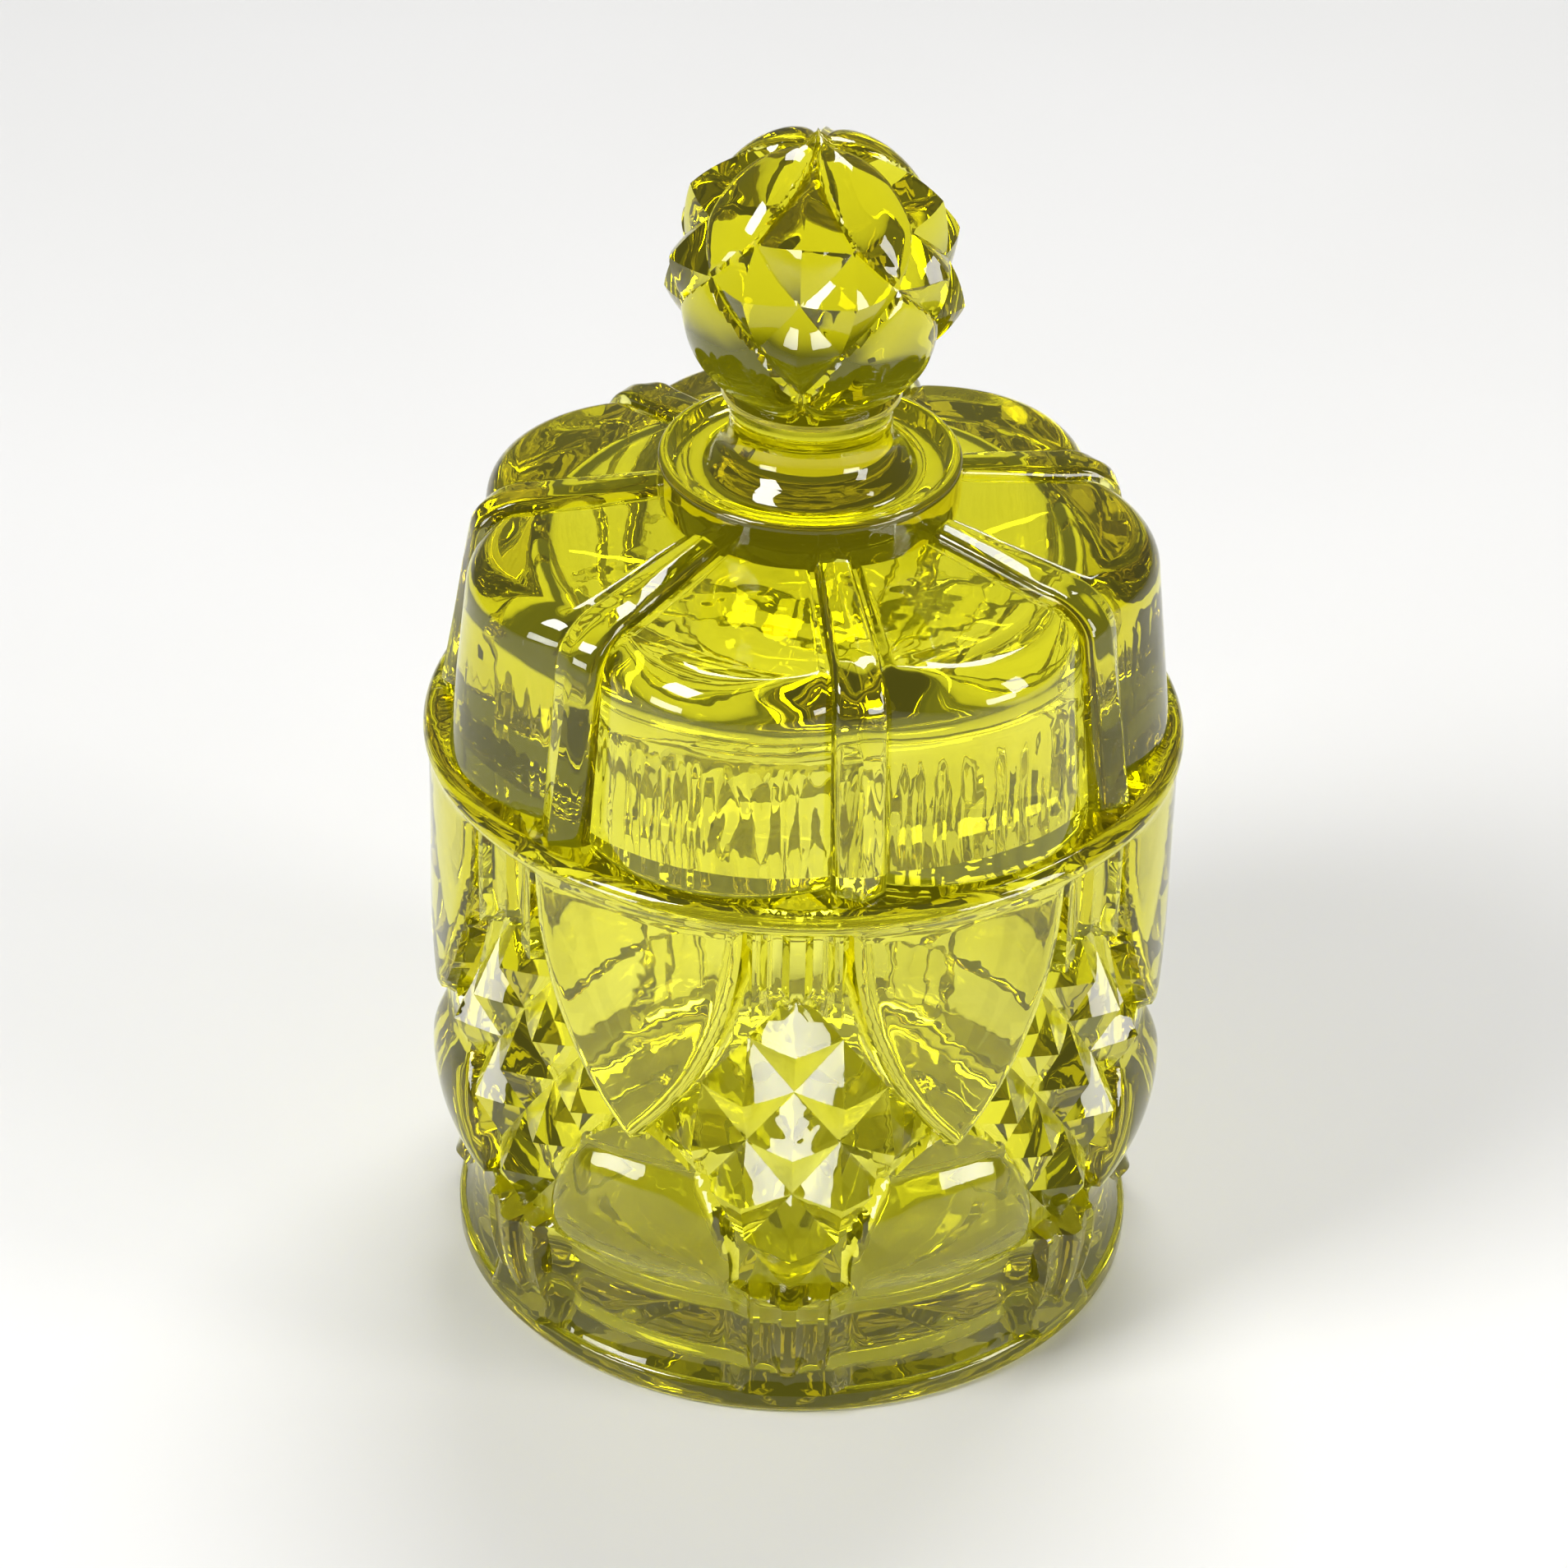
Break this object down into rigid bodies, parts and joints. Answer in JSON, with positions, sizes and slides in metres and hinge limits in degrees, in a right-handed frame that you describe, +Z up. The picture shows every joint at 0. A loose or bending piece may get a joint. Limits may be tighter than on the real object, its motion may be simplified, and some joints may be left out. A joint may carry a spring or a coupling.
{
  "type": "covered glass jar",
  "caption": "Round covered jar in yellow-green pressed glass: diamond-point body with smooth shield panels, a lobed lift-off lid with radial ribs and a faceted ball knob.",
  "frame": {"origin": "on the jar's axis, at the underside of the foot, where it rests on the table", "axes": "+Z up along the common axis of jar and lid, -Y towards the front of the jar, where a fluted column faces, +X to the viewer's right"},
  "size_m": [0.0902, 0.0902, 0.1495],
  "materials": {
    "jar_glass": "glossy",
    "lid_glass": "glossy"
  },
  "bodies": {
    "jar": {"jar": "jar_glass"},
    "lid": {"lid": "lid_glass"}
  },
  "joints": [
    {"name": "lid_lift", "type": "slide", "parent": "jar", "child": "lid", "axis": [0, 0, 1], "range_m": [0, 0.06]}
  ]
}
